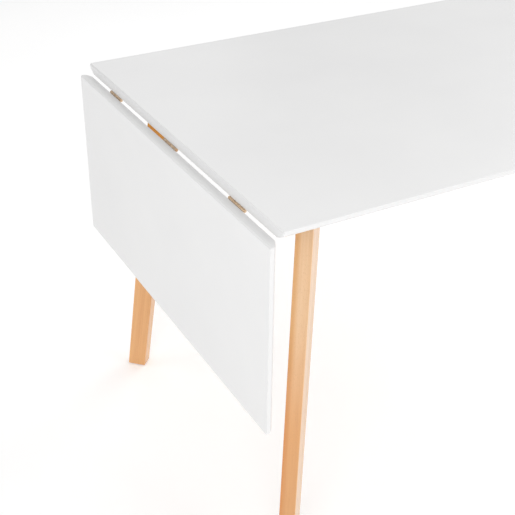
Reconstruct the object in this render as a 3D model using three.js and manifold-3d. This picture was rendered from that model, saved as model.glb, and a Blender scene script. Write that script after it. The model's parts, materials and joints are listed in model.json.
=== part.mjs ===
// Drop-leaf dining table: a white lacquered panel top on four splayed beech legs, with one leaf that
// hangs on three butt hinges at the left end and a beech slat that pulls out to hold the leaf up.
// Millimetres, +X along the table, +Y to the back, +Z up. The origin is on the floor, under the middle
// of the table's outline with the leaf hanging.
import * as THREE from "three";
import { mergeVertices } from "three/addons/utils/BufferGeometryUtils.js";
import Module from "manifold-3d";

// ---- driving dimensions ----
const TABLE_LENGTH = 1400;
const TABLE_WIDTH = 800;
const TABLE_HEIGHT = 750;
const PANEL_THICK = 18;
const LEAF_LENGTH = 355;

// Panel edges: a narrow upright band at the upper face, then a long bevel that curves away to the
// underside. The two edges that meet at the hinges are square.
const EDGE_BAND = 5.5;
const BEVEL_INSET = 18;
const BEVEL_POWER = 1.7;
const BEVEL_STEPS = 5;
const ARRIS = 1;
const HINGE_ARRIS = 2.5;
const FREE_CORNER = 5;
const HINGE_CORNER = 2.5;
const CORNER_GROWTH = 0.35;

// Hinge line: the pin lies below the underside, midway across the joint between top and leaf.
const JOINT_GAP = 1.4;
const PIN_DROP = 3.1;
const LEAF_REST_DEG = 0.7;
const HINGE_SPACING = 255;
const MIDDLE_HINGE_Y = -1.5;
const HINGE_LENGTH = 53;
const HINGE_KNUCKLES = 5;
const KNUCKLE_GAP = 0.3;
const KNUCKLE_RADIUS = 2.9;
const PLATE_THICK = 1.4;
const PLATE_REACH = 30;
const PIN_RADIUS = 1.45;
const PIN_BORE = 1.55;
const PIN_PROUD = 0.5;

// Countersunk screws.
const SCREW_HEAD_RADIUS = 3;
const SCREW_RADIUS = 1.5;
const SCREW_LENGTH = 12;
const SCREW_CLEARANCE = 0.2;
const HINGE_SCREW_REACH = 17;
const HINGE_SCREW_SPACING = 32;

// Legs: flat boards that stand on the diagonals of the top and splay outwards along them.
const LEG_TOP_INSET = 116;
const LEG_FOOT_INSET = 42;
const LEG_TOP_WIDTH = 49;
const LEG_FOOT_WIDTH = 41;
const LEG_THICK = 30;
const LEG_ROUNDING = 2.5;
const GLIDE_THICK = 2;
const GLIDE_RADIUS = 11;
const SPIGOT_RADIUS = 3;
const SPIGOT_LENGTH = 12;

// Frame under the top.
const RAIL_INSET = 100;
const RAIL_THICK = 18;
const RAIL_HEIGHT = 50;
const BRACKET_THICK = 2.5;
const BRACKET_HEIGHT = 44;
const BRACKET_FLANGE = 26;
const BRACKET_CORNER = 158;
const BOLT_RADIUS = 4;
const BOLT_INTO_LEG = 26;
const BOLT_BEYOND_NUT = 5;
const NUT_RADIUS = 7.5;
const NUT_THICK = 6.5;

// Pull-out slat beside the middle hinge, and the battens that guide it.
const SLAT_WIDTH = 65;
const SLAT_THICK = 18;
const SLAT_LENGTH = 385;
const SLAT_Y = 58;
const SLAT_RECESS = 18;
const SLAT_ROUNDING = 2.5;
const FINGER_RADIUS = 8;
const FINGER_WIDTH = 46;
const FINGER_REACH = 26;
const GUIDE_WIDTH = 20;
const GUIDE_HEIGHT = 27;
const GUIDE_LIP = 8;
const GUIDE_START = 124;
const GUIDE_SCREW_BITE = 8;
const STOP_LENGTH = 18;
const DOWEL_RADIUS = 4;
const DOWEL_LENGTH = 30;
const DOWEL_BACK = 66;

// Clearances.
const GAP = 0.3;
const SLIDE_GAP = 1;

// ---- derived places ----
const UNDERSIDE = TABLE_HEIGHT - PANEL_THICK;
const REST_TILT = THREE.MathUtils.degToRad(LEAF_REST_DEG);
const LEAF_OVERHANG =
  JOINT_GAP / 2 +
  (JOINT_GAP / 2 + LEAF_LENGTH) * Math.sin(REST_TILT) +
  (PANEL_THICK + PIN_DROP) * Math.cos(REST_TILT);
const X_LEFT = -(TABLE_LENGTH - LEAF_OVERHANG) / 2;
const X_RIGHT = X_LEFT + TABLE_LENGTH;
const HALF_WIDTH = TABLE_WIDTH / 2;
const PIN_X = X_LEFT - JOINT_GAP / 2;
const PIN_Z = UNDERSIDE - PIN_DROP;
const HINGES = [
  { name: "front", y: -HINGE_SPACING },
  { name: "middle", y: MIDDLE_HINGE_Y },
  { name: "rear", y: HINGE_SPACING },
];
const CORNERS = [
  { name: "front_left", sx: -1, sy: -1 },
  { name: "front_right", sx: 1, sy: -1 },
  { name: "rear_left", sx: -1, sy: 1 },
  { name: "rear_right", sx: 1, sy: 1 },
];
const ROUND_SIDES = 24;
const SCREW_SIDES = 16;
const CORNER_STEPS = 4;

// ---- materials ----
const lacquer = new THREE.MeshStandardMaterial({ color: 0xf0efed, roughness: 0.35, metalness: 0 });
const beech = new THREE.MeshStandardMaterial({ color: 0xe6bb8c, roughness: 0.5, metalness: 0 });
const bronze = new THREE.MeshStandardMaterial({ color: 0xa8885c, roughness: 0.35, metalness: 1 });
const steel = new THREE.MeshStandardMaterial({ color: 0xb4b6b8, roughness: 0.4, metalness: 1 });
const plastic = new THREE.MeshStandardMaterial({ color: 0xd8d6d0, roughness: 0.6, metalness: 0 });

// ---- geometry helpers ----
const wasm = await Module();
wasm.setup();

function toSolid(geometry) {
  const plain = geometry.index ? geometry.toNonIndexed() : geometry;
  const bare = new THREE.BufferGeometry().setAttribute("position", plain.getAttribute("position"));
  const merged = mergeVertices(bare, 1e-4);
  const vertProperties = merged.getAttribute("position").array;
  const triVerts = new Uint32Array(merged.index.array);
  return new wasm.Manifold(new wasm.Mesh({ numProp: 3, vertProperties, triVerts }));
}

function toGeometry(solid) {
  const mesh = solid.getMesh();
  const geometry = new THREE.BufferGeometry();
  geometry.setAttribute("position", new THREE.BufferAttribute(mesh.vertProperties, 3));
  geometry.setIndex(new THREE.BufferAttribute(mesh.triVerts, 1));
  return geometry;
}

function cut(geometry, tools) {
  const start = toSolid(geometry);
  return toGeometry(tools.reduce((solid, tool) => solid.subtract(toSolid(tool)), start));
}

function join(geometries) {
  return toGeometry(geometries.map(toSolid).reduce((a, b) => a.add(b)));
}

function box(x0, x1, y0, y1, z0, z1) {
  return new THREE.BoxGeometry(x1 - x0, y1 - y0, z1 - z0).translate(
    (x0 + x1) / 2,
    (y0 + y1) / 2,
    (z0 + z1) / 2,
  );
}

// A round bar along +X, +Y or +Z from the point (x, y, z).
function bar(axis, x, y, z, radius, length, sides = ROUND_SIDES) {
  const geometry = new THREE.CylinderGeometry(radius, radius, length, sides).translate(0, length / 2, 0);
  if (axis === "x") geometry.rotateZ(-Math.PI / 2);
  if (axis === "z") geometry.rotateX(Math.PI / 2);
  return geometry.translate(x, y, z);
}

// A turned shape about +Z from [radius, z] points listed from the bottom to the top.
function turned(points, sides = ROUND_SIDES) {
  const profile = points.map(([radius, z]) => new THREE.Vector2(radius, z));
  return new THREE.LatheGeometry(profile, sides).rotateX(Math.PI / 2);
}

// Straight walls in +Z over a convex or concave outline of [x, y] points, anticlockwise.
function upright(outline, z0, z1) {
  const shape = new THREE.Shape(outline.map(([x, y]) => new THREE.Vector2(x, y)));
  const options = { depth: z1 - z0, bevelEnabled: false };
  return new THREE.ExtrudeGeometry(shape, options).translate(0, 0, z0);
}

// A level ring with corners of radius r1 at x1 and r0 at x0.
function roundedRectangle(x0, x1, y0, y1, z, r1, r0 = r1) {
  const corners = [
    [x1 - r1, y1 - r1, r1],
    [x0 + r0, y1 - r0, r0],
    [x0 + r0, y0 + r0, r0],
    [x1 - r1, y0 + r1, r1],
  ];
  const ring = [];
  corners.forEach(([cx, cy, radius], quarter) => {
    for (let step = 0; step <= CORNER_STEPS; step++) {
      const angle = (quarter + step / CORNER_STEPS) * (Math.PI / 2);
      ring.push([cx + radius * Math.cos(angle), cy + radius * Math.sin(angle), z]);
    }
  });
  return ring;
}

// A closed skin over convex rings of equal length, from the lowest ring to the highest.
function loft(rings) {
  const count = rings[0].length;
  const index = [];
  for (let level = 0; level + 1 < rings.length; level++) {
    for (let i = 0; i < count; i++) {
      const a = level * count + i;
      const b = level * count + ((i + 1) % count);
      index.push(a, b, b + count, a, b + count, a + count);
    }
  }
  const last = (rings.length - 1) * count;
  for (let i = 1; i + 1 < count; i++) {
    index.push(0, i + 1, i);
    index.push(last, last + i, last + i + 1);
  }
  const geometry = new THREE.BufferGeometry();
  geometry.setAttribute("position", new THREE.Float32BufferAttribute(rings.flat(2), 3));
  geometry.setIndex(index);
  return geometry;
}

// ---- scene graph ----
const table = new THREE.Group();

function add(parent, name, geometry, material) {
  const mesh = new THREE.Mesh(geometry, material);
  mesh.name = name;
  parent.add(mesh);
  return mesh;
}

// ---- panels ----
// A panel from x0 to x1 with its underside at z0. The bevel runs round every side but the hinge side,
// which is at x0 when hingeSide is -1 and at x1 when it is 1.
function panel(x0, x1, z0, hingeSide) {
  const z1 = z0 + PANEL_THICK;
  const levels = [];
  for (let step = BEVEL_STEPS; step >= 0; step--) {
    const t = step / BEVEL_STEPS;
    const z = z1 - EDGE_BAND - t * (PANEL_THICK - EDGE_BAND);
    levels.push({ z, free: BEVEL_INSET * t ** BEVEL_POWER, hinged: 0 });
  }
  levels.push(
    { z: z1 - HINGE_ARRIS, free: 0, hinged: 0 },
    { z: z1 - ARRIS, free: 0, hinged: HINGE_ARRIS - ARRIS },
    { z: z1, free: ARRIS, hinged: HINGE_ARRIS },
  );
  return loft(
    levels.map(({ z, free, hinged }) => {
      const freeCorner = FREE_CORNER + CORNER_GROWTH * free;
      return roundedRectangle(
        x0 + (hingeSide < 0 ? hinged : free),
        x1 - (hingeSide > 0 ? hinged : free),
        -HALF_WIDTH + free,
        HALF_WIDTH - free,
        z,
        hingeSide > 0 ? HINGE_CORNER : freeCorner,
        hingeSide > 0 ? freeCorner : HINGE_CORNER,
      );
    }),
  );
}

// Pilot holes above the hinge plates: they start a little under the panel and rise into it.
function hingePilots(x, underside) {
  const holes = [];
  for (const hinge of HINGES) {
    for (const side of [-1, 1]) {
      const y = hinge.y + (side * HINGE_SCREW_SPACING) / 2;
      const radius = SCREW_RADIUS + SCREW_CLEARANCE;
      holes.push(bar("z", x, y, underside - 1, radius, SCREW_LENGTH + 1, SCREW_SIDES));
    }
  }
  return holes;
}

// ---- hinges, about a pin that lies along Y through the origin ----
const PLATE_UPPER = KNUCKLE_RADIUS;
const PLATE_LOWER = KNUCKLE_RADIUS - PLATE_THICK;
const PLATE_START = KNUCKLE_RADIUS + GAP;

// A countersunk screw standing on its head, which lies flush with the plate's lower face.
function countersunkScrew() {
  const shankStart = PLATE_LOWER + PLATE_THICK;
  const tip = PLATE_LOWER + SCREW_LENGTH;
  const blank = turned(
    [
      [0, PLATE_LOWER],
      [SCREW_HEAD_RADIUS, PLATE_LOWER],
      [SCREW_RADIUS, shankStart],
      [SCREW_RADIUS, tip - 2 * SCREW_RADIUS],
      [0, tip],
    ],
    SCREW_SIDES,
  );
  const half = SCREW_HEAD_RADIUS * 0.62;
  const slot = SCREW_HEAD_RADIUS * 0.12;
  const floor = PLATE_LOWER + PLATE_THICK / 2;
  return cut(blank, [
    box(-half, half, -slot, slot, PLATE_LOWER - 1, floor),
    box(-slot, slot, -half, half, PLATE_LOWER - 1, floor),
  ]);
}

// The countersunk screw with a longer shank.
function longScrew(extra) {
  const screw = countersunkScrew();
  const positions = screw.getAttribute("position");
  for (let i = 0; i < positions.count; i++) {
    if (positions.getZ(i) > PLATE_UPPER + 1) positions.setZ(i, positions.getZ(i) + extra);
  }
  return screw;
}

// The hole that a countersunk screw sits in, through a plate.
function countersink(x, y) {
  const hole = [
    [0, PLATE_LOWER - 1],
    [SCREW_HEAD_RADIUS + SCREW_CLEARANCE, PLATE_LOWER - 1],
    [SCREW_HEAD_RADIUS + SCREW_CLEARANCE, PLATE_LOWER],
    [SCREW_RADIUS + SCREW_CLEARANCE, PLATE_UPPER],
    [SCREW_RADIUS + SCREW_CLEARANCE, PLATE_UPPER + 1],
    [0, PLATE_UPPER + 1],
  ];
  return turned(hole, SCREW_SIDES).translate(x, y, 0);
}

// One plate with its share of the knuckles: side 1 is the table's, side -1 the leaf's.
function hingePlate(side) {
  const reach = (from, to) => (side > 0 ? [from, to] : [-to, -from]);
  const half = HINGE_LENGTH / 2;
  const pitch = HINGE_LENGTH / HINGE_KNUCKLES;
  const pieces = [box(...reach(PLATE_START, PLATE_REACH), -half, half, PLATE_LOWER, PLATE_UPPER)];
  for (let k = side > 0 ? 0 : 1; k < HINGE_KNUCKLES; k += 2) {
    const y0 = -half + k * pitch + (k > 0 ? KNUCKLE_GAP / 2 : 0);
    const y1 = -half + (k + 1) * pitch - (k + 1 < HINGE_KNUCKLES ? KNUCKLE_GAP / 2 : 0);
    pieces.push(bar("y", 0, y0, 0, KNUCKLE_RADIUS, y1 - y0));
    pieces.push(box(...reach(0, PLATE_START + GAP), y0, y1, PLATE_LOWER, PLATE_UPPER));
  }
  const bore = bar("y", 0, -half - 1, 0, PIN_BORE, HINGE_LENGTH + 2);
  const sinks = [-1, 1].map((end) =>
    countersink(side * HINGE_SCREW_REACH, (end * HINGE_SCREW_SPACING) / 2),
  );
  return cut(join(pieces), [bore, ...sinks]);
}

function addHingeScrews(parent, prefix, side, y) {
  ["a", "b"].forEach((letter, i) => {
    const screw = add(parent, `${prefix}_screw_${letter}`, countersunkScrew(), bronze);
    screw.position.set(side * HINGE_SCREW_REACH, y + (i - 0.5) * HINGE_SCREW_SPACING, 0);
  });
}

const hingeLine = new THREE.Group();
hingeLine.position.set(PIN_X, 0, PIN_Z);
table.add(hingeLine);

// The leaf is drawn level with the top and turned down about the pins to where it hangs.
const leaf = new THREE.Group();
leaf.position.copy(hingeLine.position);
leaf.rotation.y = -(Math.PI / 2 - REST_TILT);
table.add(leaf);

for (const { name, y } of HINGES) {
  const pinLength = HINGE_LENGTH + 2 * PIN_PROUD;
  add(hingeLine, `hinge_${name}_table_plate`, hingePlate(1).translate(0, y, 0), bronze);
  add(hingeLine, `hinge_${name}_pin`, bar("y", 0, y - pinLength / 2, 0, PIN_RADIUS, pinLength), bronze);
  addHingeScrews(hingeLine, `hinge_${name}_table`, 1, y);
  add(leaf, `hinge_${name}_leaf_plate`, hingePlate(-1).translate(0, y, 0), bronze);
  addHingeScrews(leaf, `hinge_${name}_leaf`, -1, y);
}

const leafHingeEdge = -JOINT_GAP / 2;
const leafPanel = panel(leafHingeEdge - LEAF_LENGTH, leafHingeEdge, PIN_DROP, 1);
add(leaf, "drop_leaf", cut(leafPanel, hingePilots(-HINGE_SCREW_REACH, PIN_DROP)), lacquer);

// ---- legs, glides, corner brackets, bolts and nuts ----
// Drawn for one corner: +X runs inwards along the diagonal from the corner of the top.
const DIAGONAL = Math.SQRT2;
const LEG_BOTTOM = GLIDE_THICK;
const LEG_TOP = UNDERSIDE - GAP;
const BOLT_Z = UNDERSIDE - RAIL_HEIGHT / 2;
const BRACKET_FACE = (RAIL_INSET + RAIL_THICK + GAP + BRACKET_CORNER) / DIAGONAL;

function legCentre(z) {
  const t = z / UNDERSIDE;
  return DIAGONAL * THREE.MathUtils.lerp(LEG_FOOT_INSET, LEG_TOP_INSET, t);
}

function legWidth(z) {
  return THREE.MathUtils.lerp(LEG_FOOT_WIDTH, LEG_TOP_WIDTH, z / UNDERSIDE);
}

function boltStart() {
  return legCentre(BOLT_Z) + legWidth(BOLT_Z) / 2 - BOLT_INTO_LEG;
}

function legGeometry() {
  const ring = (z) => {
    const centre = legCentre(z);
    const half = legWidth(z) / 2;
    return roundedRectangle(centre - half, centre + half, -LEG_THICK / 2, LEG_THICK / 2, z, LEG_ROUNDING);
  };
  const boltHole = bar("x", boltStart() - 1, 0, BOLT_Z, BOLT_RADIUS + GAP, BOLT_INTO_LEG * 2);
  const spigotHole = bar(
    "z", legCentre(0), 0, LEG_BOTTOM - 1, SPIGOT_RADIUS + GAP, SPIGOT_LENGTH + 2, SCREW_SIDES,
  );
  return cut(loft([ring(LEG_BOTTOM), ring(LEG_TOP)]), [boltHole, spigotHole]);
}

function glideGeometry() {
  const disc = LEG_BOTTOM - GAP / 2;
  return turned([
    [0, 0],
    [GLIDE_RADIUS - 0.6, 0],
    [GLIDE_RADIUS, 0.6],
    [GLIDE_RADIUS, disc],
    [SPIGOT_RADIUS, disc],
    [SPIGOT_RADIUS, disc + SPIGOT_LENGTH],
    [0, disc + SPIGOT_LENGTH],
  ]);
}

// A strip bent along one rail, straight across the corner behind the leg, and along the other rail.
function bracketGeometry() {
  const wall = RAIL_INSET + RAIL_THICK + GAP;
  const inner = wall + BRACKET_THICK;
  const bend = BRACKET_CORNER + BRACKET_THICK * (DIAGONAL - 1);
  const end = BRACKET_CORNER + BRACKET_FLANGE;
  const half = [[end, wall], [BRACKET_CORNER, wall]];
  const back = [[bend, inner], [end, inner]];
  const mirrored = (points) => points.map(([a, b]) => [b, a]).reverse();
  const plan = [...half, ...mirrored(half), ...mirrored(back), ...back];
  const outline = plan.map(([a, b]) => [(a + b) / DIAGONAL, (b - a) / DIAGONAL]).reverse();
  const body = upright(outline, BOLT_Z - BRACKET_HEIGHT / 2, BOLT_Z + BRACKET_HEIGHT / 2);
  return cut(body, [bar("x", BRACKET_FACE - 5, 0, BOLT_Z, BOLT_RADIUS + GAP, 15)]);
}

function boltGeometry() {
  const start = boltStart();
  const end = BRACKET_FACE + BRACKET_THICK + GAP + NUT_THICK + BOLT_BEYOND_NUT;
  return bar("x", start, 0, BOLT_Z, BOLT_RADIUS, end - start);
}

function nutGeometry() {
  const start = BRACKET_FACE + BRACKET_THICK + GAP;
  const hexagon = bar("x", start, 0, BOLT_Z, NUT_RADIUS, NUT_THICK, 6);
  return cut(hexagon, [bar("x", start - 1, 0, BOLT_Z, BOLT_RADIUS + GAP / 2, NUT_THICK + 2)]);
}

for (const { name, sx, sy } of CORNERS) {
  const corner = new THREE.Group();
  corner.position.set(sx < 0 ? X_LEFT : X_RIGHT, sy * HALF_WIDTH, 0);
  corner.rotation.z = Math.atan2(-sy, -sx);
  table.add(corner);
  add(corner, `leg_${name}`, legGeometry(), beech);
  add(corner, `glide_${name}`, glideGeometry(), plastic).position.x = legCentre(0);
  add(corner, `corner_bracket_${name}`, bracketGeometry(), steel);
  add(corner, `leg_bolt_${name}`, boltGeometry(), steel);
  add(corner, `leg_nut_${name}`, nutGeometry(), steel);
}

// ---- rails between the legs, mitred against the legs' flat sides ----
const RAIL_TOP = UNDERSIDE - GAP;
const RAIL_BOTTOM = UNDERSIDE - RAIL_HEIGHT;
const LEG_SIDE = (LEG_THICK / 2 + GAP) * DIAGONAL;

// The outline of a rail between -half and half, whose outer face is at -depth: [along, across] points.
function railOutline(half, depth) {
  const outer = half - RAIL_INSET - LEG_SIDE;
  const inner = outer - RAIL_THICK;
  return [
    [-outer, -depth],
    [outer, -depth],
    [inner, -depth + RAIL_THICK],
    [-inner, -depth + RAIL_THICK],
  ];
}

function addLongRail(name, side) {
  const outline = railOutline(TABLE_LENGTH / 2, HALF_WIDTH - RAIL_INSET);
  const rail = add(table, name, upright(outline, RAIL_BOTTOM, RAIL_TOP), beech);
  rail.position.x = (X_LEFT + X_RIGHT) / 2;
  if (side > 0) rail.geometry.rotateZ(Math.PI);
}

function addEndRail(name, side, notches) {
  const outline = railOutline(HALF_WIDTH, TABLE_LENGTH / 2 - RAIL_INSET);
  const turn = side < 0 ? -Math.PI / 2 : Math.PI / 2;
  const geometry = upright(outline, RAIL_BOTTOM, RAIL_TOP)
    .rotateZ(turn)
    .translate((X_LEFT + X_RIGHT) / 2, 0, 0);
  add(table, name, cut(geometry, notches), beech);
}

addLongRail("rail_front", -1);
addLongRail("rail_rear", 1);

// ---- pull-out slat, its guides and stops ----
const SLAT_TOP = UNDERSIDE - SLIDE_GAP;
const SLAT_BOTTOM = SLAT_TOP - SLAT_THICK;
const SLAT_START = X_LEFT + SLAT_RECESS;
const SLAT_END = SLAT_START + SLAT_LENGTH;
const SLAT_Y0 = SLAT_Y - SLAT_WIDTH / 2;
const SLAT_Y1 = SLAT_Y + SLAT_WIDTH / 2;
const GUIDE_X0 = X_LEFT + GUIDE_START;
const GUIDE_X1 = SLAT_END + GAP + STOP_LENGTH;
const GUIDE_TOP = UNDERSIDE - GAP;

const railNotch = box(
  X_LEFT + RAIL_INSET - 1, X_LEFT + RAIL_INSET + RAIL_THICK + 1,
  SLAT_Y0 - SLIDE_GAP, SLAT_Y1 + SLIDE_GAP, SLAT_BOTTOM - GAP, UNDERSIDE + 1,
);
addEndRail("rail_left", -1, [railNotch]);
addEndRail("rail_right", 1, []);

const dowelX = SLAT_END - DOWEL_BACK;
// The slat's ends are rounded in profile, so that neither edge catches the leaf.
const slatBlank = loft([
  roundedRectangle(SLAT_START, SLAT_END, SLAT_BOTTOM, SLAT_TOP, -SLAT_Y1, SLAT_ROUNDING),
  roundedRectangle(SLAT_START, SLAT_END, SLAT_BOTTOM, SLAT_TOP, -SLAT_Y0, SLAT_ROUNDING),
]).rotateX(Math.PI / 2);
const fingerGroove = bar(
  "y", SLAT_START + FINGER_REACH, SLAT_Y - FINGER_WIDTH / 2, SLAT_BOTTOM, FINGER_RADIUS, FINGER_WIDTH,
);
const dowelHole = bar(
  "z", dowelX, SLAT_Y, SLAT_BOTTOM - 1, DOWEL_RADIUS + GAP / 2, SLAT_THICK + 2, SCREW_SIDES,
);
add(table, "support_slat", cut(slatBlank, [fingerGroove, dowelHole]), beech);
add(
  table,
  "slat_stop_dowel",
  bar("z", dowelX, SLAT_Y, SLAT_TOP - DOWEL_LENGTH, DOWEL_RADIUS, DOWEL_LENGTH, SCREW_SIDES),
  beech,
);

// A batten with a lip that the slat's edge slides on, held up by two screws from below.
function addGuide(name, side) {
  const wall = side < 0 ? SLAT_Y0 - SLIDE_GAP : SLAT_Y1 + SLIDE_GAP;
  const outer = wall + side * GUIDE_WIDTH;
  const lip = wall - side * (GUIDE_LIP + SLIDE_GAP);
  const lipTop = SLAT_BOTTOM - GAP;
  const bottom = GUIDE_TOP - GUIDE_HEIGHT;
  const batten = box(GUIDE_X0, GUIDE_X1, Math.min(wall, outer), Math.max(wall, outer), bottom, GUIDE_TOP);
  const ledge = box(GUIDE_X0, GUIDE_X1, Math.min(wall, lip), Math.max(wall, lip), bottom, lipTop);
  const y = (wall + outer) / 2;
  const screwXs = [GUIDE_X0 + 30, GUIDE_X1 - 30];
  const holes = screwXs.map((x) =>
    bar("z", x, y, bottom - 1, SCREW_RADIUS + SCREW_CLEARANCE, GUIDE_HEIGHT + 2, SCREW_SIDES),
  );
  const sinks = screwXs.map((x) => countersink(x, y).translate(0, 0, bottom - PLATE_LOWER));
  add(table, name, cut(join([batten, ledge]), [...holes, ...sinks]), beech);
  return screwXs.map((x) => ({ x, y, z: bottom }));
}

const guideScrews = [...addGuide("slat_guide_front", -1), ...addGuide("slat_guide_rear", 1)];
const guideScrewExtra = GUIDE_HEIGHT + GUIDE_SCREW_BITE - SCREW_LENGTH;
guideScrews.forEach(({ x, y, z }, i) => {
  const screw = add(table, `guide_screw_${i + 1}`, longScrew(guideScrewExtra), steel);
  screw.position.set(x, y, z - PLATE_LOWER);
});

add(
  table,
  "slat_back_stop",
  box(SLAT_END + GAP, GUIDE_X1, SLAT_Y0 + GAP, SLAT_Y1 - GAP, SLAT_BOTTOM, GUIDE_TOP),
  beech,
);

// ---- top ----
const guidePilots = guideScrews.map(({ x, y }) =>
  bar("z", x, y, UNDERSIDE - 1, SCREW_RADIUS + SCREW_CLEARANCE, GUIDE_SCREW_BITE + 3, SCREW_SIDES),
);
const topPanel = panel(X_LEFT, X_RIGHT, UNDERSIDE, -1);
const topPilots = hingePilots(PIN_X + HINGE_SCREW_REACH, UNDERSIDE);
add(table, "table_top", cut(topPanel, [...topPilots, ...guidePilots]), lacquer);

export default table;
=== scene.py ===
"""Looks for a white drop-leaf table on splayed beech legs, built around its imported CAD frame.

Metres, +X along the table, +Y to the back, +Z up. The leaf hangs at the -X end.
"""

import json
import math

import bpy
from mathutils import Matrix, Vector


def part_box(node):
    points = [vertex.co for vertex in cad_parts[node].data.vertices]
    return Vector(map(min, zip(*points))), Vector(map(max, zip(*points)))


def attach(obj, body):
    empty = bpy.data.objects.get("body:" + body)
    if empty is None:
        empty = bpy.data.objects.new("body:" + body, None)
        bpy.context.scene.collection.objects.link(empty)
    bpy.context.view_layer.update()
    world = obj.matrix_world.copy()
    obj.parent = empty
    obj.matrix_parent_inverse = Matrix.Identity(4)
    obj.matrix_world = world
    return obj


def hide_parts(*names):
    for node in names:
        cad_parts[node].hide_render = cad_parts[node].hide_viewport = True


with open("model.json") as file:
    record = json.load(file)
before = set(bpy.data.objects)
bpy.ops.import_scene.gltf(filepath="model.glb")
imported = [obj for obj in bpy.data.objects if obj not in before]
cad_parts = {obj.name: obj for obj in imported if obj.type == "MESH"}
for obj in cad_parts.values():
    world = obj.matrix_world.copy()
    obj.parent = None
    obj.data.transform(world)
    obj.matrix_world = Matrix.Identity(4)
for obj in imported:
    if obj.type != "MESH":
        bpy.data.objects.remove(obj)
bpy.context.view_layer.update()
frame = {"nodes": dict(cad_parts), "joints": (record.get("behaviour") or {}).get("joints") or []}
nodes = frame["nodes"]
MM = 0.001

# ---- places taken from the frame ----
TOP_LOW, TOP_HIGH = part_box("table_top")
HALF_WIDTH = TOP_HIGH.y
UNDERSIDE = TOP_LOW.z
PIN_LOW, PIN_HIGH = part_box("hinge_middle_pin")
PIN = Vector(((PIN_LOW.x + PIN_HIGH.x) / 2, 0, (PIN_LOW.z + PIN_HIGH.z) / 2))
LEAF_SWING = math.radians(frame["joints"][0]["range_deg"][1])

# ---- panels ----
PANEL_THICK = TOP_HIGH.z - TOP_LOW.z
LEAF_LENGTH = 355 * MM
JOINT_GAP = 1.4 * MM
EDGE_BAND = 5.5 * MM
BEVEL_INSET = 18 * MM
BEVEL_POWER = 1.7
BEVEL_STEPS = 16
ARRIS = 1 * MM
ARRIS_STEPS = 4
HINGE_ARRIS = 2.5 * MM
FREE_CORNER = 5 * MM
HINGE_CORNER = 2.5 * MM
CORNER_GROWTH = 0.35
CORNER_STEPS = 10
FACE_BORDER = 6 * MM

# ---- legs ----
LEG_TOP_INSET = 116 * MM
LEG_FOOT_INSET = 42 * MM
LEG_TOP_WIDTH = 49 * MM
LEG_FOOT_WIDTH = 41 * MM
LEG_THICK = 30 * MM
LEG_ROUNDING = 1.2 * MM
LEG_BOTTOM = 2 * MM
LEG_GAP = 0.3 * MM
FOOT_ARRIS = 0.8 * MM
FOOT_KNEE = 0.24 * MM

# ---- bolts, nuts and bracket screws ----
BOLT_RADIUS = 4 * MM
THREAD_PITCH = 1.25 * MM
THREAD_DEPTH = 0.55 * MM
THREAD_SIDES = 20
THREAD_SAMPLES = 6
NUT_RADIUS = 7.5 * MM
NUT_CHAMFER = 0.93
NUT_SAMPLES = 48
BRACKET_CORNER = 158 * MM
BRACKET_FLANGE = 26 * MM
BRACKET_INNER = 120.8 * MM
FLANGE_SCREW_RISE = 12 * MM
PAN_HEAD_RADIUS = 3.6 * MM
PAN_HEAD_HEIGHT = 2.1 * MM
PAN_HEAD_SIDES = 24
PAN_HEAD_STEPS = 6
PAN_HEAD_SKIRT = 0.35 * PAN_HEAD_HEIGHT
RECESS_REACH = 0.55 * PAN_HEAD_RADIUS
RECESS_HALF_WIDTH = 0.13 * PAN_HEAD_RADIUS
RECESS_FLOOR = 0.3 * PAN_HEAD_HEIGHT

# ---- eased edges of the CAD nodes ----
WOOD_EASING = 0.9 * MM
PLATE_EASING = 0.15 * MM
PIN_EASING = 0.2 * MM
BRACKET_EASING = 0.35 * MM
SHARP_DEG = 30
EASED_DEG = 40

CORNERS = {
    "front_left": (-1, -1),
    "front_right": (1, -1),
    "rear_left": (-1, 1),
    "rear_right": (1, 1),
}
HINGES = ("front", "middle", "rear")
BEECH_ALONG_X = ("rail_front", "rail_rear", "support_slat", "slat_guide_front", "slat_guide_rear")
BEECH_ALONG_Y = ("rail_left", "rail_right", "slat_back_stop")


# ---- mesh helpers ----
def make_piece(name, vertices, faces, material, slot, sharp_deg=SHARP_DEG):
    """A new mesh object with smooth shading between faces that meet at less than sharp_deg."""
    mesh = bpy.data.meshes.new(name)
    mesh.from_pydata([tuple(v) for v in vertices], [], faces)
    mesh.validate()
    mesh.shade_smooth()
    mesh.set_sharp_from_angle(angle=math.radians(sharp_deg))
    mesh.materials.append(material)
    piece = bpy.data.objects.new(name, mesh)
    bpy.context.scene.collection.objects.link(piece)
    weigh_normals(piece)
    return piece


def weigh_normals(piece):
    """Keeps wide flat faces flat beside their rounded edges."""
    modifier = piece.modifiers.new("flat_faces", "WEIGHTED_NORMAL")
    modifier.keep_sharp = True
    modifier.weight = 100


def loft(rings):
    """Vertices and faces of a closed skin over rings of equal length, with flat ends."""
    count = len(rings[0])
    vertices = [point for ring in rings for point in ring]
    faces = []
    for level in range(len(rings) - 1):
        for i in range(count):
            a = level * count + i
            b = level * count + (i + 1) % count
            faces.append((a, b, b + count, a + count))
    faces.append(tuple(reversed(range(count))))
    faces.append(tuple(range((len(rings) - 1) * count, len(rings) * count)))
    return vertices, faces


def rounded_ring(x0, x1, y0, y1, z, r0, r1):
    """A level ring, anticlockwise from above, with corners of radius r0 at x0 and r1 at x1."""
    corners = (
        (x1 - r1, y1 - r1, r1),
        (x0 + r0, y1 - r0, r0),
        (x0 + r0, y0 + r0, r0),
        (x1 - r1, y0 + r1, r1),
    )
    ring = []
    for quarter, (cx, cy, radius) in enumerate(corners):
        for step in range(CORNER_STEPS + 1):
            angle = (quarter + step / CORNER_STEPS) * math.pi / 2
            ring.append(Vector((cx + radius * math.cos(angle), cy + radius * math.sin(angle), z)))
    return ring


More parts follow.
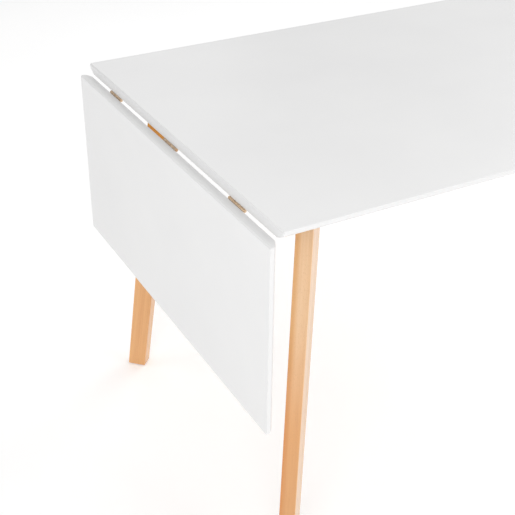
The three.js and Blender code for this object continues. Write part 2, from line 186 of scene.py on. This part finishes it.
def panel_mesh(x0, x1, z0, hinge_side):
    """A panel with its curved bevel round every side but the hinge side, which is square.

    Each level is a height and how far the free sides and the hinge side stand in there.
    """
    z1 = z0 + PANEL_THICK
    bevel_depth = PANEL_THICK - EDGE_BAND
    levels = [(z0, BEVEL_INSET + FACE_BORDER, FACE_BORDER)]
    for step in range(BEVEL_STEPS, -1, -1):
        t = step / BEVEL_STEPS
        levels.append((z0 + bevel_depth * (1 - t), BEVEL_INSET * t**BEVEL_POWER, 0))
    levels.append((z1 - HINGE_ARRIS, 0, 0))
    for step in range(ARRIS_STEPS + 1):
        angle = step / ARRIS_STEPS * math.pi / 2
        z = z1 - ARRIS * (1 - math.sin(angle))
        run = ARRIS * math.cos(angle)
        levels.append((z, ARRIS - run, HINGE_ARRIS - run))
    levels.append((z1, FACE_BORDER, FACE_BORDER))
    rings = []
    for z, free, hinged in levels:
        hinge_end = (hinged, HINGE_CORNER)
        free_end = (free, FREE_CORNER + CORNER_GROWTH * free)
        ends = (hinge_end, free_end) if hinge_side < 0 else (free_end, hinge_end)
        (pull0, corner0), (pull1, corner1) = ends
        y = HALF_WIDTH - free
        rings.append(rounded_ring(x0 + pull0, x1 - pull1, -y, y, z, corner0, corner1))
    return loft(rings)


def corner_matrix(sx, sy):
    """From a corner's own frame, whose +X runs inwards along the diagonal, to the row frame."""
    x = TOP_LOW.x if sx < 0 else TOP_HIGH.x
    place = Matrix.Translation((x, sy * HALF_WIDTH, 0))
    return place @ Matrix.Rotation(math.atan2(-sy, -sx), 4, "Z")


def leg_mesh():
    """A tapered board with rounded long edges, in its corner's own frame."""
    top = UNDERSIDE - LEG_GAP
    rings = []
    for z, arris in (
        (LEG_BOTTOM, FOOT_ARRIS),
        (LEG_BOTTOM + FOOT_KNEE, FOOT_KNEE),
        (LEG_BOTTOM + FOOT_ARRIS, 0),
        (top, 0),
    ):
        t = z / UNDERSIDE
        centre = math.sqrt(2) * (LEG_FOOT_INSET + (LEG_TOP_INSET - LEG_FOOT_INSET) * t)
        half = (LEG_FOOT_WIDTH + (LEG_TOP_WIDTH - LEG_FOOT_WIDTH) * t) / 2 - arris
        across = LEG_THICK / 2 - arris
        corner = LEG_ROUNDING - arris
        rings.append(rounded_ring(centre - half, centre + half, -across, across, z, corner, corner))
    return loft(rings)


def thread_mesh(length):
    """A threaded rod along +X from the origin, with chamfered ends."""
    samples = int(length / THREAD_PITCH * THREAD_SAMPLES)
    rings = []
    for i in range(samples + 1):
        x = length * i / samples
        taper = min(1, x / THREAD_PITCH, (length - x) / THREAD_PITCH)
        ring = []
        for j in range(THREAD_SIDES):
            turn = j / THREAD_SIDES
            phase = (x / THREAD_PITCH - turn) % 1
            groove = THREAD_DEPTH * (1 - abs(2 * phase - 1))
            radius = BOLT_RADIUS - max(groove, THREAD_DEPTH * (1 - taper))
            angle = turn * 2 * math.pi
            ring.append(Vector((x, radius * math.cos(angle), radius * math.sin(angle))))
        rings.append(ring)
    return loft(rings)


def nut_mesh(thick):
    """A hexagon nut along +X from the origin, with the usual chamfer on both faces."""
    flat = NUT_RADIUS * math.cos(math.pi / 6)
    crown = NUT_RADIUS * NUT_CHAMFER

    def ring(end):
        points = []
        for j in range(NUT_SAMPLES):
            angle = j / NUT_SAMPLES * 2 * math.pi
            off_flat = (angle + math.pi / 6) % (math.pi / 3) - math.pi / 6
            hexagon = flat / math.cos(off_flat)
            slope = max(0, hexagon - crown) * math.tan(math.radians(30))
            radius = min(hexagon, crown) if end in (0, 3) else hexagon
            x = (0, slope, thick - slope, thick)[end]
            points.append(Vector((x, radius * math.cos(angle), radius * math.sin(angle))))
        return points

    return loft([ring(end) for end in range(4)])


def turned_mesh(profile, sides):
    """A shape turned about +Z from (radius, z) points, closed with flat ends."""
    rings = []
    for radius, z in profile:
        angles = [j / sides * 2 * math.pi for j in range(sides)]
        rings.append([Vector((radius * math.cos(a), radius * math.sin(a), z)) for a in angles])
    return loft(rings)


def moved(mesh_data, matrix):
    """A mesh's vertices and faces, placed by a matrix."""
    vertices, faces = mesh_data
    return [matrix @ Vector(v) for v in vertices], faces


def merged(parts):
    """Several meshes' vertices and faces as one."""
    vertices, faces = [], []
    for part_vertices, part_faces in parts:
        start = len(vertices)
        vertices += part_vertices
        faces += [tuple(start + i for i in face) for face in part_faces]
    return vertices, faces


# ---- material helpers ----
NOISE_SPAN = (0.25, 0.75)


def new_material(name):
    """An empty node material, its tree and its Principled shader."""
    material = bpy.data.materials.new(name)
    material.use_nodes = True
    tree = material.node_tree
    shader = tree.nodes["Principled BSDF"]
    return material, tree, shader


def add_node(tree, kind, **settings):
    """A node whose settings are attributes, or input sockets where their name starts with in_."""
    made = tree.nodes.new(kind)
    for key, value in settings.items():
        if not key.startswith("in_"):
            setattr(made, key, value)
    for key, value in settings.items():
        if key.startswith("in_"):
            socket = made.inputs[key[3:].replace("_", " ")]
            if isinstance(value, bpy.types.NodeSocket):
                tree.links.new(value, socket)
            else:
                socket.default_value = value
    return made


def object_point(tree):
    """The shaded point in the piece's own coordinates."""
    return add_node(tree, "ShaderNodeTexCoord").outputs["Object"]


def stretched(tree, point, scale):
    """The point multiplied by a scale on each axis."""
    made = add_node(tree, "ShaderNodeVectorMath", operation="MULTIPLY")
    tree.links.new(point, made.inputs[0])
    made.inputs[1].default_value = scale
    return made.outputs[0]


def noise(tree, point, scale, detail=3.0, roughness=0.5, distortion=0.0):
    """A noise texture's grey value."""
    made = add_node(
        tree,
        "ShaderNodeTexNoise",
        in_Vector=point,
        in_Scale=scale,
        in_Detail=detail,
        in_Roughness=roughness,
        in_Distortion=distortion,
    )
    return made.outputs["Fac"]


def ramp(tree, factor, stops):
    """A colour ramp over (position, colour) stops; a colour may be one grey level."""
    made = add_node(tree, "ShaderNodeValToRGB", in_Fac=factor)
    elements = made.color_ramp.elements
    while len(elements) < len(stops):
        elements.new(1.0)
    for element, (position, colour) in zip(elements, stops):
        element.position = position
        element.color = (*colour, 1) if isinstance(colour, tuple) else (colour,) * 3 + (1,)
    return made.outputs["Color"]


def spread(tree, factor, low, high):
    """A noise's usual values brought to the range low..high, and no further."""
    made = add_node(tree, "ShaderNodeMapRange")
    tree.links.new(factor, made.inputs["Value"])
    made.inputs["From Min"].default_value, made.inputs["From Max"].default_value = NOISE_SPAN
    made.inputs["To Min"].default_value = low
    made.inputs["To Max"].default_value = high
    return made.outputs["Result"]


def blend(tree, factor, first, second, mode="MIX"):
    """Two colours mixed by a factor, which is a socket or a number."""
    made = add_node(tree, "ShaderNodeMix", data_type="RGBA", blend_type=mode)
    for key, value in (("Factor_Float", factor), ("A_Color", first), ("B_Color", second)):
        socket = next(s for s in made.inputs if s.identifier == key)
        if isinstance(value, bpy.types.NodeSocket):
            tree.links.new(value, socket)
        else:
            socket.default_value = (*value, 1) if isinstance(value, tuple) else value
    return next(s for s in made.outputs if s.identifier == "Result_Color")


def calculate(tree, operation, first, second=0.0):
    """The result of a sum or the like, on sockets or numbers."""
    made = add_node(tree, "ShaderNodeMath", operation=operation)
    for socket, value in zip(made.inputs, (first, second)):
        if isinstance(value, bpy.types.NodeSocket):
            tree.links.new(value, socket)
        else:
            socket.default_value = value
    return made.outputs[0]


def add_bump(tree, shader, layers):
    """Bump from (height, strength, distance) layers, the finest last."""
    normal = None
    for height, strength, distance in layers:
        made = add_node(
            tree,
            "ShaderNodeBump",
            in_Height=height,
            in_Strength=strength,
            in_Distance=distance,
        )
        if normal is not None:
            tree.links.new(normal, made.inputs["Normal"])
        normal = made.outputs["Normal"]
    tree.links.new(normal, shader.inputs["Normal"])


# ---- materials ----
LACQUER_LIGHT = (0.814, 0.813, 0.811)
LACQUER_DARK = (0.794, 0.793, 0.793)
BEECH_PALE = (0.885, 0.60, 0.360)
BEECH_TAN = (0.835, 0.54, 0.305)
BEECH_DEEP = (0.745, 0.43, 0.215)
BEECH_FLECK = (0.45, 0.22, 0.095)
BEECH_END = (0.52, 0.20, 0.04)
END_GRAIN_SHARE = 0.95
# How fine each layer of the beech's pattern is, across the grain twice and then along it.
BEECH_BANDS = (42, 42, 1.6)
BEECH_STREAKS = (260, 260, 5)
BEECH_FIBRES = (1500, 1500, 22)
BEECH_FLECKS = (1800, 1800, 260)
BEECH_SHIFT = Vector((0.37, 0.61, 0.83))
RAIL_TINT = (0.95, 0.87, 0.78)
BRUSHED_FINENESS = (900, 60, 900)
BRONZE_PLATE = ((0.48, 0.34, 0.22), (0.62, 0.45, 0.30), (0.74, 0.56, 0.39))
BRONZE_SCREW = ((0.60, 0.45, 0.31), (0.76, 0.59, 0.43), (0.86, 0.70, 0.53))
# Each leg's painted shade, as colours multiplied into the wood: towards its foot, along its side
# facing the leaf's end, and as painted shadow on that side's head under the top, from a height up.
LEG_PAINTED_SHADES = {
    "front_left": {
        "foot": (0.83, 0.61, 0.37),
        "head": (0.97, 0.88, 0.76),
        "head_from": 0.60,
        "shaded_side": (0.95, 0.79, 0.56),
    },
    "front_right": {
        "foot": (0.90, 0.72, 0.50),
        "head": (0.97, 0.84, 0.68),
        "head_from": 0.60,
        "shaded_side": (0.97, 0.84, 0.66),
    },
    "rear_left": {
        "foot": (0.94, 0.77, 0.53),
        # This leg's head gets the deepest painted shadow, as it stands in shade under the top and the
        # leaf.
        "head": (1.0, 0.68, 0.15),
        "head_from": 0.46,
        "shaded_side": (1.0, 0.98, 0.96),
    },
    "rear_right": {
        "foot": (0.88, 0.70, 0.46),
        "head": (0.97, 0.80, 0.60),
        "head_from": 0.56,
        "shaded_side": (0.97, 0.88, 0.74),
    },
}
# The heights between which the painted shade of the foot comes in, and the painted shadow of the
# head, in metres.
FOOT_SHADE_FROM = 0.56
FOOT_SHADE_TO = 0.28
HEAD_SHADOW_RISE = 0.14
# The foot's painted shade fades out towards the lit side, down to a share of its strength on it.
FOOT_SHADE_FADE = 1.5 * MM
FOOT_SHADE_ON_LIT_SIDE = 0.3
# The painted shade of the side facing the leaf's end comes in between these distances from the
# board's middle, in waves.
SIDE_SHADE_FROM = 3 * MM
SIDE_SHADE_TO = 13 * MM
SIDE_SHADE_WAVE = 8 * MM
CLEAR = (1.0, 1.0, 1.0)


def lacquer_material():
    """Sprayed satin lacquer: a faint orange peel, roller-long waves and slight shifts of gloss."""
    material, tree, shader = new_material("white_lacquer")
    point = object_point(tree)
    clouds = noise(tree, point, 5.0, detail=4.0)
    tree.links.new(
        ramp(tree, clouds, [(0.3, LACQUER_DARK), (0.7, LACQUER_LIGHT)]),
        shader.inputs["Base Color"],
    )
    gloss = noise(tree, point, 14.0, detail=5.0, roughness=0.6)
    tree.links.new(spread(tree, gloss, 0.34, 0.44), shader.inputs["Roughness"])
    waves = noise(tree, point, 40.0, detail=1.0)
    peel = noise(tree, point, 700.0, detail=2.0)
    add_bump(tree, shader, [(waves, 0.15, 0.4 * MM), (peel, 0.10, 0.05 * MM)])
    shader.inputs["Specular IOR Level"].default_value = 0.45
    return material


def end_grain(tree, grain):
    """How far a face cuts across the grain: 0 along it, and most straight across it."""
    facing = add_node(tree, "ShaderNodeVectorMath", operation="DOT_PRODUCT")
    tree.links.new(add_node(tree, "ShaderNodeTexCoord").outputs["Normal"], facing.inputs[0])
    facing.inputs[1].default_value = Vector(grain).normalized()
    across = calculate(tree, "ABSOLUTE", facing.outputs["Value"])
    return spread(tree, across, 0.0, END_GRAIN_SHARE)


def smooth_share(tree, value, low, high):
    """0 where a value is low or less and 1 where it is high or more, smooth between them."""
    share = add_node(tree, "ShaderNodeMapRange", interpolation_type="SMOOTHSTEP")
    tree.links.new(value, share.inputs["Value"])
    share.inputs["From Min"].default_value = low
    share.inputs["From Max"].default_value = high
    return share.outputs["Result"]


def shaded_side_direction(corner):
    """The direction across a leg's board that points more towards the leaf's end of the table, where
    its painted shade goes.
    """
    across = corner.to_3x3() @ Vector((0, 1, 0))
    return across if across.x < 0 else -across


def leg_painted_shade(tree, colour, bands, painted_shades, corner):
    """The colour with painted shade: warmer and darker towards the foot and along the side facing the
    leaf's end, most of all at its head, as painted shadow under the top.
    """
    # Painted shade along the side facing the leaf's end, away from the lights, its edge wavy with the
    # grain bands.
    sideways = add_node(tree, "ShaderNodeVectorMath", operation="DOT_PRODUCT")
    tree.links.new(object_point(tree), sideways.inputs[0])
    shadewards = shaded_side_direction(corner)
    sideways.inputs[1].default_value = shadewards
    side = calculate(tree, "SUBTRACT", sideways.outputs["Value"], corner.translation.dot(shadewards))
    wave = calculate(tree, "MULTIPLY", calculate(tree, "SUBTRACT", bands, 0.5), SIDE_SHADE_WAVE)
    wavy_side = calculate(tree, "ADD", side, wave)
    shaded_side = smooth_share(tree, wavy_side, SIDE_SHADE_FROM, SIDE_SHADE_TO)

    # Painted shadow on that side's head, where the top shades the leg.
    height = add_node(tree, "ShaderNodeSeparateXYZ", in_Vector=object_point(tree)).outputs["Z"]
    head_from = painted_shades["head_from"]
    near_head = smooth_share(tree, height, head_from, head_from + HEAD_SHADOW_RISE)
    head = calculate(tree, "MULTIPLY", near_head, shaded_side)
    # Painted shade towards the foot, fading out on the lit side.
    above_foot = smooth_share(tree, height, FOOT_SHADE_TO, FOOT_SHADE_FROM)
    off_lit_side = smooth_share(tree, side, -LEG_THICK / 2, FOOT_SHADE_FADE - LEG_THICK / 2)
    across = calculate(tree, "MAXIMUM", off_lit_side, FOOT_SHADE_ON_LIT_SIDE)
    foot = calculate(tree, "MULTIPLY", calculate(tree, "SUBTRACT", 1.0, above_foot), across)

    # Each painted shade is multiplied into the wood's colour.
    for share, tone in ((shaded_side, "shaded_side"), (head, "head"), (foot, "foot")):
        colour = blend(tree, 1.0, colour, blend(tree, share, CLEAR, painted_shades[tone]), "MULTIPLY")
    return colour


def beech_material(name, grain, seed, tint=CLEAR, leg=None):
    """Clear-varnished beech with its grain along a direction: soft bands, fine streaks and flecks.

    A leg's board is given as its painted shade colours and its corner's matrix.
    """
    material, tree, shader = new_material(name)
    turn = Vector(grain).normalized().rotation_difference(Vector((0, 0, 1))).to_euler()
    place = add_node(tree, "ShaderNodeMapping", vector_type="POINT")
    tree.links.new(object_point(tree), place.inputs["Vector"])
    place.inputs["Rotation"].default_value = turn
    place.inputs["Location"].default_value = BEECH_SHIFT * seed
    point = place.outputs["Vector"]

    bands = noise(tree, stretched(tree, point, BEECH_BANDS), 1.0, detail=2.0, distortion=0.6)
    streaks = noise(tree, stretched(tree, point, BEECH_STREAKS), 1.0, detail=3.0, roughness=0.6)
    fibres = noise(tree, stretched(tree, point, BEECH_FIBRES), 1.0, detail=2.0)
    flecks = noise(tree, stretched(tree, point, BEECH_FLECKS), 1.0, detail=1.0)

    tone = calculate(tree, "MULTIPLY", bands, 0.50)
    tone = calculate(tree, "ADD", tone, calculate(tree, "MULTIPLY", streaks, 0.34))
    tone = calculate(tree, "ADD", tone, calculate(tree, "MULTIPLY", fibres, 0.16))
    colour = ramp(tree, tone, [(0.30, BEECH_DEEP), (0.49, BEECH_TAN), (0.66, BEECH_PALE)])
    if leg:
        # Painted shade on the legs: towards the foot, along one side and under the top.
        colour = leg_painted_shade(tree, colour, bands, *leg)
    colour = blend(tree, 1.0, colour, tint, "MULTIPLY")
    fleck = ramp(tree, flecks, [(0.64, 0.0), (0.72, 1.0)])
    fleck = calculate(tree, "MULTIPLY", fleck, 0.40)
    colour = blend(tree, fleck, colour, BEECH_FLECK)
    colour = blend(tree, end_grain(tree, grain), colour, BEECH_END)
    tree.links.new(colour, shader.inputs["Base Color"])
    tree.links.new(spread(tree, streaks, 0.42, 0.56), shader.inputs["Roughness"])
    add_bump(tree, shader, [(streaks, 0.25, 0.15 * MM), (fibres, 0.25, 0.05 * MM)])
    shader.inputs["Coat Weight"].default_value = 0.8
    shader.inputs["Coat Roughness"].default_value = 0.22
    return material


def bronze_material(name, dark, middle, light):
    """Bronzed steel, brushed along the hinge line and rubbed brighter in patches."""
    material, tree, shader = new_material(name)
    point = object_point(tree)
    brushed = noise(tree, stretched(tree, point, BRUSHED_FINENESS), 1.0, detail=3.0)
    patches = noise(tree, point, 160.0, detail=4.0, roughness=0.65)
    tone = calculate(tree, "MULTIPLY", patches, 0.6)
    tone = calculate(tree, "ADD", tone, calculate(tree, "MULTIPLY", brushed, 0.4))
    stops = [(0.36, dark), (0.5, middle), (0.64, light)]
    tree.links.new(ramp(tree, tone, stops), shader.inputs["Base Color"])
    tree.links.new(spread(tree, patches, 0.20, 0.34), shader.inputs["Roughness"])
    add_bump(tree, shader, [(brushed, 0.3, 0.05 * MM)])
    shader.inputs["Metallic"].default_value = 1.0
    return material


def zinc_material():
    """Zinc-plated steel with crystalline patches and a fine grain."""
    material, tree, shader = new_material("zinc_plate")
    point = object_point(tree)
    crystals = add_node(tree, "ShaderNodeTexVoronoi", in_Vector=point, in_Scale=320.0)
    grain = noise(tree, point, 1800.0, detail=2.0)
    stains = noise(tree, point, 45.0, detail=4.0)
    greys = ramp(tree, stains, [(0.35, (0.52, 0.52, 0.50)), (0.65, (0.68, 0.69, 0.70))])
    cells = blend(tree, 0.12, greys, crystals.outputs["Color"], "OVERLAY")
    plain = add_node(tree, "ShaderNodeHueSaturation", in_Color=cells)
    plain.inputs["Saturation"].default_value = 0.25
    tree.links.new(plain.outputs["Color"], shader.inputs["Base Color"])
    tree.links.new(spread(tree, stains, 0.28, 0.42), shader.inputs["Roughness"])
    add_bump(tree, shader, [(grain, 0.2, 0.03 * MM)])
    shader.inputs["Metallic"].default_value = 1.0
    return material


def glide_material():
    """Moulded grey-white plastic, scuffed where it slides."""
    material, tree, shader = new_material("moulded_glide")
    point = object_point(tree)
    mottle = noise(tree, point, 220.0, detail=4.0)
    scuffs = noise(tree, stretched(tree, point, (300, 2600, 2600)), 1.0, detail=2.0)
    base = ramp(tree, mottle, [(0.35, (0.60, 0.59, 0.57)), (0.65, (0.70, 0.69, 0.67))])
    worn = calculate(tree, "MULTIPLY", ramp(tree, scuffs, [(0.6, 0.0), (0.7, 1.0)]), 0.3)
    tree.links.new(blend(tree, worn, base, (0.42, 0.41, 0.39)), shader.inputs["Base Color"])
    tree.links.new(spread(tree, mottle, 0.5, 0.65), shader.inputs["Roughness"])
    add_bump(tree, shader, [(mottle, 0.2, 0.05 * MM), (scuffs, 0.2, 0.03 * MM)])
    return material


def floor_material():
    """Pale matt floor that glows a little, as a lit studio sweep does."""
    material, tree, shader = new_material("studio_floor")
    point = object_point(tree)
    tone = noise(tree, point, 1.2, detail=2.0)
    tree.links.new(ramp(tree, tone, [(0.3, 0.90), (0.7, 0.92)]), shader.inputs["Base Color"])
    shader.inputs["Roughness"].default_value = 0.9
    shader.inputs["Specular IOR Level"].default_value = 0.1
    shader.inputs["Emission Color"].default_value = (1, 1, 1, 1)
    shader.inputs["Emission Strength"].default_value = FLOOR_GLOW
    return material


# ---- pieces ----
def add_panels(lacquer):
    """The top, and the leaf, which is drawn raised about its pin and then let down."""
    flat = panel_mesh(TOP_LOW.x, TOP_HIGH.x, UNDERSIDE, -1)
    top = make_piece("top_panel", *flat, lacquer, "lacquer")
    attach(top, "table")
    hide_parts("table_top")

    inner = -JOINT_GAP / 2
    raised = panel_mesh(inner - LEAF_LENGTH, inner, UNDERSIDE - PIN.z, 1)
    leaf = make_piece("leaf_panel", *raised, lacquer, "lacquer")
    leaf.matrix_world = Matrix.Translation(PIN) @ Matrix.Rotation(-LEAF_SWING, 4, "Y")
    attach(leaf, "leaf")
    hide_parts("drop_leaf")


def add_legs():
    """The four legs, each of its own board."""
    rise = Vector((math.sqrt(2) * (LEG_TOP_INSET - LEG_FOOT_INSET), 0, UNDERSIDE))
    for seed, (name, (sx, sy)) in enumerate(CORNERS.items()):
        to_row = corner_matrix(sx, sy)
        grain = to_row.to_3x3() @ rise
        # The leg's painted shade colours and its corner's matrix.
        leg = (LEG_PAINTED_SHADES[name], to_row)
        material = beech_material(f"beech_leg_{name}", grain, seed + 1, leg=leg)
        piece = make_piece(f"tapered_leg_{name}", *moved(leg_mesh(), to_row), material, "beech")
        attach(piece, "table")
        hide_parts(f"leg_{name}")


def add_bolts(zinc):
    """Threaded bolts and hexagon nuts in place of the CAD's plain ones, at the same places."""
    for name, (sx, sy) in CORNERS.items():
        to_row = corner_matrix(sx, sy)
        for kind, node, radius, shape in (
            ("threaded_bolt", f"leg_bolt_{name}", BOLT_RADIUS, thread_mesh),
            ("hexagon_nut", f"leg_nut_{name}", NUT_RADIUS, nut_mesh),
        ):
            low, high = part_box(node)
            centre = to_row.inverted() @ ((low + high) / 2)
            length = (high.x - low.x) * math.sqrt(2) - 2 * radius
            place = to_row @ Matrix.Translation((centre.x - length / 2, 0, centre.z))
            piece = make_piece(f"{kind}_{name}", *moved(shape(length), place), zinc, "steel")
            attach(piece, "table")
            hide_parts(node)


def box_mesh(low, high):
    """A plain block between two corners, for cutting."""
    x, y, z = zip(low, high)
    ring = ((0, 0), (1, 0), (1, 1), (0, 1))
    return loft([[Vector((x[i], y[j], z[k])) for i, j in ring] for k in (0, 1)])


def carved(body, cutters):
    """The vertices and faces of a body with other meshes cut out of it."""
    parts = []
    for i, (vertices, faces) in enumerate((body, *cutters)):
        mesh = bpy.data.meshes.new(f"carving_{i}")
        mesh.from_pydata([tuple(v) for v in vertices], [], faces)
        part = bpy.data.objects.new(f"carving_{i}", mesh)
        bpy.context.scene.collection.objects.link(part)
        parts.append(part)
    for cutter in parts[1:]:
        modifier = parts[0].modifiers.new("carve", "BOOLEAN")
        modifier.operation = "DIFFERENCE"
        modifier.solver = "EXACT"
        modifier.object = cutter
    result = parts[0].evaluated_get(bpy.context.evaluated_depsgraph_get()).to_mesh()
    vertices = [v.co.copy() for v in result.vertices]
    faces = [tuple(face.vertices) for face in result.polygons]
    for part in parts:
        bpy.data.objects.remove(part)
    return vertices, faces


def pan_head():
    """A domed screw head standing on the plane z = 0, with a cross recess."""
    profile = [(PAN_HEAD_RADIUS, 0), (PAN_HEAD_RADIUS, PAN_HEAD_SKIRT)]
    for i in range(1, PAN_HEAD_STEPS):
        angle = i / PAN_HEAD_STEPS * math.pi / 2
        z = PAN_HEAD_SKIRT + (PAN_HEAD_HEIGHT - PAN_HEAD_SKIRT) * math.sin(angle)
        profile.append((PAN_HEAD_RADIUS * math.cos(angle), z))
    above = 2 * PAN_HEAD_HEIGHT
    recess = [
        box_mesh((-x, -y, RECESS_FLOOR), (x, y, above))
        for x, y in ((RECESS_REACH, RECESS_HALF_WIDTH), (RECESS_HALF_WIDTH, RECESS_REACH))
    ]
    return carved(turned_mesh(profile, PAN_HEAD_SIDES), recess)


def add_bracket_screws(zinc):
    """Four pan-head screws through each corner bracket's two flanges into the rails."""
    reach = BRACKET_CORNER + BRACKET_FLANGE / 2
    head = pan_head()
    for name, (sx, sy) in CORNERS.items():
        low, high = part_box(f"corner_bracket_{name}")
        middle = (low.z + high.z) / 2
        edge_x = TOP_LOW.x if sx < 0 else TOP_HIGH.x
        heads = []
        for rise in (-FLANGE_SCREW_RISE, FLANGE_SCREW_RISE):
            on_long = Matrix.Translation(
                (edge_x - sx * reach, sy * (HALF_WIDTH - BRACKET_INNER), middle + rise)
            ) @ Matrix.Rotation(sy * math.pi / 2, 4, "X")
            on_end = Matrix.Translation(
                (edge_x - sx * BRACKET_INNER, sy * (HALF_WIDTH - reach), middle + rise)
            ) @ Matrix.Rotation(-sx * math.pi / 2, 4, "Y")
            heads += [moved(head, on_long), moved(head, on_end)]
        piece = make_piece(f"bracket_screws_{name}", *merged(heads), zinc, "steel", EASED_DEG)
        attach(piece, "table")


def finish_cad_nodes(zinc):
    """Materials, eased edges and clean normals for the CAD nodes that stay."""
    bronze = bronze_material("bronzed_hinge", *BRONZE_PLATE)
    bronze_screw = bronze_material("bronzed_screw", *BRONZE_SCREW)
    plastic = glide_material()
    beech_grains = [(name, (1, 0, 0)) for name in BEECH_ALONG_X]
    beech_grains += [(name, (0, 1, 0)) for name in BEECH_ALONG_Y]
    beech_grains.append(("slat_stop_dowel", (0, 0, 1)))
    for seed, (name, grain) in enumerate(beech_grains):
        dress(name, beech_material(f"beech_{name}", grain, seed + 7, RAIL_TINT), WOOD_EASING)
    for hinge in HINGES:
        dress(f"hinge_{hinge}_pin", bronze, PIN_EASING)
        for side in ("table", "leaf"):
            dress(f"hinge_{hinge}_{side}_plate", bronze, PLATE_EASING)
            for letter in ("a", "b"):
                dress(f"hinge_{hinge}_{side}_screw_{letter}", bronze_screw, 0)
    for i in range(1, 5):
        dress(f"guide_screw_{i}", zinc, 0)
    for name in CORNERS:
        dress(f"corner_bracket_{name}", zinc, BRACKET_EASING)
        dress(f"glide_{name}", plastic, 0)


def dress(name, material, easing):
    """One CAD node's material, with its sharp edges eased by a small bevel."""
    node = nodes[name]
    node.data.materials.clear()
    node.data.materials.append(material)
    node.data.shade_smooth()
    node.data.set_sharp_from_angle(angle=math.radians(SHARP_DEG))
    if easing:
        bevel = node.modifiers.new("eased_edges", "BEVEL")
        bevel.width = easing
        bevel.segments = 2
        bevel.limit_method = "ANGLE"
        bevel.angle_limit = math.radians(EASED_DEG)
    weigh_normals(node)


# ---- stage, lights and camera ----
FLOOR_REACH = 14.0
FLOOR_DROP = 0.2 * MM
FLOOR_GLOW = 0.21
SKY_STRENGTH = 0.51
LIGHT_TARGET = (-0.2, 0.0, 0.6)
# Each light's name, place, side length and power in watts.
LIGHTS = (
    ("key", (1.6, -2.6, 2.2), 2.0, 25.5),
    ("right_wide", (2.4, 0.6, 3.4), 3.2, 63),
    ("near_high", (-1.7, -1.9, 1.9), 1.4, 18.5),
    ("near_left", (-2.0, -1.2, 1.0), 1.4, 3),
    ("left_far", (-3.0, 1.6, 1.6), 1.8, 12.5),
    ("back", (0.0, 3.5, 2.5), 2.6, 13),
)
# The camera's place, from the near end corner of the top's underside.
EYE_FROM_CORNER = Vector((-637.3, -1090.1, 738.7)) * MM
CAMERA_YAW = 0.4990
CAMERA_PITCH = 0.5437
CAMERA_LENS = 69.9


def add_floor():
    """A wide pale floor just under the feet."""
    signs = ((-1, -1), (1, -1), (1, 1), (-1, 1))
    corners = [(x * FLOOR_REACH, y * FLOOR_REACH, -FLOOR_DROP) for x, y in signs]
    mesh = bpy.data.meshes.new("floor")
    mesh.from_pydata(corners, [], [(0, 1, 2, 3)])
    mesh.materials.append(floor_material())
    floor = bpy.data.objects.new("floor", mesh)
    bpy.context.scene.collection.objects.link(floor)


def add_area_light(name, place, size, power):
    """A square soft light, turned to the table."""
    light = bpy.data.lights.new(name, "AREA")
    light.shape = "SQUARE"
    light.size = size
    light.energy = power
    lamp = bpy.data.objects.new(name, light)
    lamp.location = place
    towards = Vector(LIGHT_TARGET) - Vector(place)
    lamp.rotation_euler = towards.to_track_quat("-Z", "Y").to_euler()
    bpy.context.scene.collection.objects.link(lamp)


def add_lights():
    """An even white sky and the studio's soft lights."""
    world = bpy.data.worlds.new("studio")
    world.use_nodes = True
    background = world.node_tree.nodes["Background"]
    background.inputs["Color"].default_value = (1, 1, 1, 1)
    background.inputs["Strength"].default_value = SKY_STRENGTH
    bpy.context.scene.world = world
    for light in LIGHTS:
        add_area_light(*light)


def add_camera():
    """The camera, level, above the near end corner."""
    data = bpy.data.cameras.new("camera")
    data.lens = CAMERA_LENS
    data.clip_start = 0.05
    data.clip_end = 100
    camera = bpy.data.objects.new("camera", data)
    camera.location = Vector((TOP_LOW.x, TOP_LOW.y, UNDERSIDE)) + EYE_FROM_CORNER
    camera.rotation_euler = (math.pi / 2 - CAMERA_PITCH, 0, -CAMERA_YAW)
    bpy.context.scene.collection.objects.link(camera)
    bpy.context.scene.camera = camera
    bpy.context.scene.view_settings.view_transform = "Standard"


add_camera()
add_floor()
add_lights()
zinc_plate = zinc_material()
add_panels(lacquer_material())
add_legs()
add_bolts(zinc_plate)
add_bracket_screws(zinc_plate)
finish_cad_nodes(zinc_plate)
